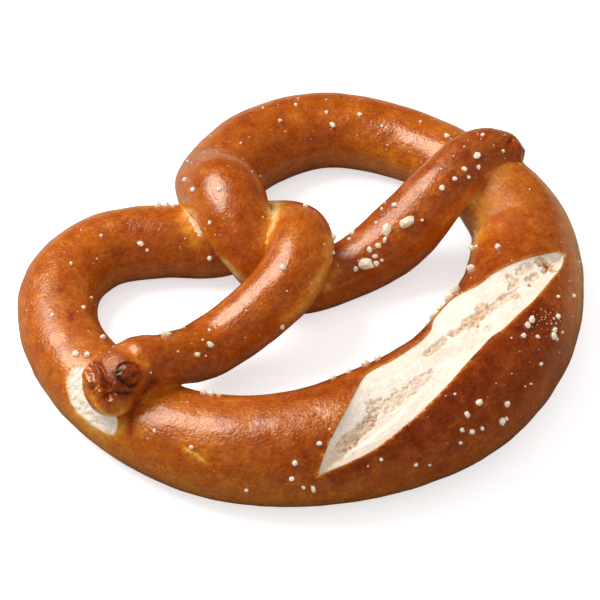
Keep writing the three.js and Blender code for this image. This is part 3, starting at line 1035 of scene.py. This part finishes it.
def fineSaltTree():
    # small crystals scattered over a skin as thickly as its salty attribute says
    start = newTree("fine salt", {
        "Density": "Float", "Least": "Float", "Most": "Float", "Seed": "Int"})
    tree = start["Geometry"].id_data
    thick = times(namedAttribute(tree, "salty"), start["Density"])
    scattered = addNode(tree, "GeometryNodeDistributePointsOnFaces", {
        "Mesh": start["Geometry"], "Density": thick, "Seed": start["Seed"]})["Points"]
    luck = addNode(tree, "FunctionNodeRandomValue", {"Seed": start["Seed"]},
                   data_type="FLOAT")[1]
    # a power of luck makes most of them small
    size = addNode(tree, "ShaderNodeMapRange", {
        "Value": mathOf("POWER", luck, finePinches["smallness"]), "To Min": start["Least"],
        "To Max": start["Most"]})["Result"]
    grains = crystalsOn(scattered, 1, size, start["Seed"], *finePinches["stretch"])
    return finishedTree(grains, start["Material"])


def newMaterial(name, finish):
    # a material with that finish, its shader, and the place on the piece that it colours
    material = bpy.data.materials.new(name)
    material.use_nodes = True
    tree = material.node_tree
    shader = tree.nodes["Principled BSDF"]
    fillInputs(shader, finish)
    return material, shader, addNode(tree, "ShaderNodeTexCoord")["Object"]


def rampOf(value, stops):
    node = value.id_data.nodes.new("ShaderNodeValToRGB")
    ramp = node.color_ramp
    while len(ramp.elements) < len(stops):
        ramp.elements.new(0.5)
    for element, (position, colour) in zip(ramp.elements, stops):
        element.position = position
        element.color = (*colour, 1)
    fillInputs(node, {"Fac": value})
    return node.outputs["Color"]


def linear(red, green, blue):
    # a colour as it looks, 0 to 255, made the light values a shader wants
    def one(value):
        value /= 255
        return value / 12.92 if value <= 0.04045 else ((value + 0.055) / 1.055) ** 2.4
    return one(red), one(green), one(blue)


def speckleGroup():
    # soft spots of a given size, from 0 to 1
    tree, start = newGroup("speckle", "ShaderNodeTree", {
        "Vector": "Vector", "Scale": "Float", "Detail": "Float", "Low": "Float",
        "High": "Float"}, {"Mask": "Float"})
    spots = addNode(tree, "ShaderNodeTexNoise", {
        "Vector": start["Vector"], "Scale": start["Scale"], "Detail": start["Detail"]})["Fac"]
    spread = addNode(tree, "ShaderNodeMapRange", {
        "Value": spots, "From Min": start["Low"], "From Max": start["High"]})["Result"]
    addNode(tree, "NodeGroupOutput", {"Mask": spread})
    return tree


speckle = speckleGroup()


def speckleAt(place, scale, detail=2.0, low=0.3, high=0.7):
    node = place.id_data.nodes.new("ShaderNodeGroup")
    node.node_tree = speckle
    fillInputs(node, {"Vector": place, "Scale": scale, "Detail": detail, "Low": low,
                      "High": high})
    return node.outputs["Mask"]


def attributeIn(tree, name):
    return addNode(tree, "ShaderNodeAttribute", attribute_name=name)["Fac"]


def mixColour(factor, first, second):
    return addNode(factor.id_data, "ShaderNodeMix", {0: factor, 6: first, 7: second},
                   data_type="RGBA")[2]


def bumpOf(height, distance, strength, under=None):
    inputs = {"Height": height, "Distance": distance, "Strength": strength}
    if under is not None:
        inputs["Normal"] = under
    return addNode(height.id_data, "ShaderNodeBump", inputs)["Normal"]


black = (0.0, 0.0, 0.0)
crumbCream = (linear(248, 236, 220), linear(236, 220, 198))
# The crust's looks. Its tones run from unbaked to burnt. Mottles have a scale, a detail and
# how much they brown; other spots a scale, a detail, and where they fade from and to. Bumps
# have a depth in metres and a strength, for the leather, creases, pebbles and torn grain.
crustLook = {
    "tones": [
        (0.0, linear(255, 228, 166)), (0.14, linear(248, 194, 104)),
        (0.3, linear(232, 142, 34)), (0.46, linear(200, 98, 12)), (0.62, linear(162, 62, 6)),
        (0.8, linear(114, 36, 3)), (1.0, linear(56, 16, 3))],
    "mottles": [(60, 2.0, 0.08), (240, 3.0, 0.1), (1100, 3.0, 0.1)],
    "threads": (330, 4.0),
    "threadThinness": 7.0,
    "threadPatches": (130, 2.0, 0.35, 0.6),
    "threadPale": 0.08,
    "streaks": (800, 3.0),
    "streakSqueeze": 0.4,
    "streakBrown": 0.06,
    "tornSpots": (500, 4.0),
    # the warm glow of the torn patch is painted light, no lamp
    "tornPaintedGlow": (1.0, 0.88, 0.72),
    "dullSpots": (260, 3.0),
    "dullLeast": 0.16,
    "dullSpread": 0.2,
    "dullDry": 0.3,
    "dullTorn": 0.5,
    "coat": 0.55,
    "creaseScale": 900,
    "creaseSharpness": 3.0,
    "leather": (420, 2.0, 0.2, 0.8),
    "pebbles": (1300, 3.0, 0.2, 0.8),
    "tornGrain": (700, 5.0, 0.25, 0.75),
    "bumps": [(0.00012, 1.0), (0.00004, 0.6), (0.0001, 1.0), (0.0006, 1.0)],
    # the emission strength lights only the torn patch: painted light
    "finish": {"Coat Roughness": 0.12, "Specular IOR Level": 1.0,
               "Specular Tint": (1.0, 0.8, 0.52), "Emission Strength": 0.12},
}


def crustMaterial():
    look = crustLook
    material, shader, place = newMaterial("baked crust", look["finish"])
    tree = material.node_tree
    torn = times(attributeIn(tree, "torn"), 1.0, clamp=True)
    dry = attributeIn(tree, "dry")
    ropePlace = addNode(tree, "ShaderNodeCombineXYZ", {
        "X": times(attributeIn(tree, "along"), look["streakSqueeze"]),
        "Y": attributeIn(tree, "around")})["Vector"]
    tone = attributeIn(tree, "brown")
    for scale, detail, amount in look["mottles"]:
        spots = minus(speckleAt(place, scale, detail), 0.5)
        tone = plus(tone, times(spots, amount))
    # thin golden threads wander through the brown
    wander = mathOf("ABSOLUTE", minus(speckleAt(place, *look["threads"]), 0.5))
    thread = minus(1.0, times(wander, look["threadThinness"]), clamp=True)
    thread = times(thread, speckleAt(place, *look["threadPatches"]))
    tone = minus(tone, times(thread, look["threadPale"]))
    streaks = minus(speckleAt(ropePlace, *look["streaks"]), 0.5)
    tone = plus(tone, times(streaks, look["streakBrown"]), clamp=True)
    pale = mixColour(speckleAt(place, *look["tornSpots"]), *crumbCream)
    dull = times(speckleAt(place, *look["dullSpots"]), look["dullSpread"])
    dull = plus(plus(dull, look["dullLeast"]), times(dry, look["dullDry"]))
    whole = minus(minus(1.0, torn, clamp=True), dry, clamp=True)
    creases = addNode(tree, "ShaderNodeTexVoronoi", {
        "Scale": look["creaseScale"], "Vector": ropePlace}, feature="DISTANCE_TO_EDGE")
    cracks = times(creases["Distance"], look["creaseSharpness"], clamp=True)
    heights = [speckleAt(place, *look["leather"]), cracks, speckleAt(place, *look["pebbles"]),
               times(torn, speckleAt(place, *look["tornGrain"]))]
    normal = None
    for height, (depth, strength) in zip(heights, look["bumps"]):
        normal = bumpOf(height, depth, strength, normal)
    fillInputs(shader, {
        "Base Color": mixColour(torn, rampOf(tone, look["tones"]), pale),
        "Roughness": plus(dull, times(torn, look["dullTorn"]), clamp=True),
        "Coat Weight": times(whole, look["coat"]),
        "Normal": normal,
        # the torn patch glows warm: painted light that brightens its pale inside where it lies in
        # shade
        "Emission Color": mixColour(torn, black, look["tornPaintedGlow"]),
    })
    return material


# The crumb's looks: spots of two creams, and of two tans where it is torn.
crumbLook = {
    "creamSpots": (260, 4.0),
    "tan": (linear(224, 184, 134), linear(192, 138, 86)),
    "tanSpots": (700, 3.0),
    "tornSpots": (900, 4.0),
    "tornLeast": 0.5,
    "tornSpread": 0.7,
    "pores": (800, 5.0, 0.25, 0.75),
    "poreBump": (0.0003, 0.6),
    "finish": {"Roughness": 0.8, "Specular IOR Level": 0.25, "Subsurface Weight": 0.4,
               "Subsurface Radius": (1.0, 0.72, 0.45), "Subsurface Scale": 0.0015,
               # a faint warm glow: painted light that lifts the crumb's shaded side
               "Emission Color": (1.0, 0.87, 0.74), "Emission Strength": 0.1},
}


def crumbMaterial():
    look = crumbLook
    material, shader, place = newMaterial("soft crumb", look["finish"])
    spots = plus(times(speckleAt(place, *look["tornSpots"]), look["tornSpread"]),
                 look["tornLeast"])
    torn = times(attributeIn(material.node_tree, "torn"), spots, clamp=True)
    cream = mixColour(speckleAt(place, *look["creamSpots"]), *crumbCream)
    tan = mixColour(speckleAt(place, *look["tanSpots"]), *look["tan"])
    fillInputs(shader, {
        "Base Color": mixColour(torn, cream, tan),
        "Normal": bumpOf(speckleAt(place, *look["pores"]), *look["poreBump"]),
    })
    return material


# The salt's looks: clear crystals of two off-whites.
saltLook = {
    "spots": (600, 2.0),
    # two warm off-whites: partly the salt's own cream, partly painted warm light bounced from the
    # crust
    "whites": (linear(255, 244, 222), linear(252, 230, 196)),
    "chips": (2500, 2.0),
    "chipBump": (0.0001, 0.5),
    "finish": {"Roughness": 0.4, "Subsurface Weight": 0.6,
               "Subsurface Radius": (1.0, 0.85, 0.7), "Subsurface Scale": 0.002,
               # a faint warm glow: painted light that brightens the grains
               "Emission Color": (1.0, 0.82, 0.6), "Emission Strength": 0.12},
}


def saltMaterial():
    look = saltLook
    material, shader, place = newMaterial("coarse salt", look["finish"])
    fillInputs(shader, {
        "Base Color": mixColour(speckleAt(place, *look["spots"]), *look["whites"]),
        "Normal": bumpOf(speckleAt(place, *look["chips"]), *look["chipBump"]),
    })
    return material


crystalMaterial = saltMaterial()
crust.data.materials.clear()
crust.data.materials.append(crustMaterial())
crumb.data.materials.append(crumbMaterial())


def coarseSalt():
    station, degrees, radius = grainPlaces().T
    points = surfacePoint(station, degrees, salt["sunk"] * radius) * mm
    piece = meshObject("coarse_salt", points, [])
    addAttribute(piece, "size", radius * mm * salt["swell"])
    return grown(piece, grainTree(), {
        "Fineness": salt["fineness"],
        "Chipping": salt["chipping"],
        "Chip size": salt["chipSize"],
        "Seed": salt["shapeSeed"],
        "Material": crystalMaterial,
    })


def fineSalt():
    return grown(newObject("fine_salt", crust.data.copy()), fineSaltTree(), {
        "Density": finePinches["mostPerSquareMetre"],
        "Least": finePinches["least"] * mm,
        "Most": finePinches["most"] * mm,
        "Seed": finePinches["seed"],
        "Material": crystalMaterial,
    })


coarse = coarseSalt()
fine = fineSalt()
print("salt:", len(coarse.data.polygons), "coarse and", len(fine.data.polygons), "fine faces")

# The view, the light and the table.
studio = {
    "target": (0.0027, 0.0103, 0.0),
    "elevation": 46.2,
    "turn": 38.3,
    "distance": 0.8,
    "lens": 171.84,
    "filmWidth": 36,
    "nearest": 0.05,
    "roomLight": 0.56,
    "roomGloss": 0.02,
    "keyPlace": (-0.22, 0.48, 0.64),
    "keySize": 0.62,
    "keyPower": 5.9,
    "tableLook": 0.95,
    "tableBounce": 0.3,
    "tableShineFront": 0.14,
    "tableShineBehind": 0.5,
    "shineColour": (1.0, 0.74, 0.5),
    "tableGlow": 0.6,
    "tableFade": 6.0,
    "tableHalf": 3.0,
    "tableFinish": {"Roughness": 0.9, "Specular IOR Level": 0.1, "Emission Color": (1, 1, 1)},
}


def lookAt(piece, place, target):
    piece.location = place
    piece.rotation_euler = (Vector(target) - Vector(place)).to_track_quat("-Z", "Y").to_euler()


def placeCamera():
    lift = math.radians(studio["elevation"])
    turn = math.radians(studio["turn"])
    away = Vector((-math.sin(turn) * math.cos(lift), -math.cos(turn) * math.cos(lift),
                   math.sin(lift)))
    lens = bpy.data.cameras.new("view")
    lens.lens = studio["lens"]
    lens.sensor_width = studio["filmWidth"]
    lens.clip_start = studio["nearest"]
    camera = newObject("view", lens)
    target = Vector(studio["target"])
    lookAt(camera, target + away * studio["distance"], target)
    bpy.context.scene.camera = camera


def placeLight(name, place, size, power):
    lamp = bpy.data.lights.new(name, "AREA")
    lamp.shape = "DISK"
    lamp.size = size
    lamp.energy = power
    lookAt(newObject(name, lamp), place, studio["target"])


def tableMaterial():
    # white to the eye; it throws little light up under the rope and shows in the crust's
    # sheen, more so behind than in front
    material, shader, place = newMaterial("white table", studio["tableFinish"])
    tree = material.node_tree
    bounce = studio["tableBounce"]
    split = addNode(tree, "ShaderNodeSeparateXYZ", {"Vector": place})
    turn = math.radians(studio["turn"])
    behind = plus(times(split["X"], math.sin(turn)), times(split["Y"], math.cos(turn)))
    behind = plus(times(behind, studio["tableFade"]), 0.5, clamp=True)
    shine = times(behind, studio["tableShineBehind"] - studio["tableShineFront"])
    shine = plus(shine, studio["tableShineFront"] - bounce)
    paths = addNode(tree, "ShaderNodeLightPath")
    seen = times(paths["Is Camera Ray"], studio["tableLook"] - bounce)
    whole = plus(plus(seen, times(paths["Is Glossy Ray"], shine)), bounce)
    warm = mixColour(paths["Is Glossy Ray"], (1.0, 1.0, 1.0), studio["shineColour"])
    fillInputs(shader, {
        "Base Color": mixColour(whole, black, warm),
        "Emission Strength": times(paths["Is Camera Ray"], studio["tableGlow"]),
    })
    return material


def placeTable():
    half = studio["tableHalf"]
    table = meshObject("table", [(-half, -half, 0), (half, -half, 0), (half, half, 0),
                                 (-half, half, 0)], [(0, 1, 2, 3)])
    table.data.materials.append(tableMaterial())


def lightTheRoom():
    # an even white room that shows only faintly in glossy skin, so the lamp makes the shine
    world = bpy.data.worlds.new("room")
    world.use_nodes = True
    glossy = addNode(world.node_tree, "ShaderNodeLightPath")["Is Glossy Ray"]
    less = times(glossy, studio["roomGloss"] - studio["roomLight"])
    fillInputs(world.node_tree.nodes["Background"],
               {"Color": (1, 1, 1), "Strength": plus(less, studio["roomLight"])})
    bpy.context.scene.world = world
    placeLight("key", studio["keyPlace"], studio["keySize"], studio["keyPower"])
    bpy.context.scene.view_settings.view_transform = "Standard"


placeCamera()
placeTable()
lightTheRoom()
print("table, light and view set")

for piece, slot in [(crust, "crust"), (crumb, "crumb"), (coarse, "salt"), (fine, "salt")]:
    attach(piece, "root")
    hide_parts("pretzel")
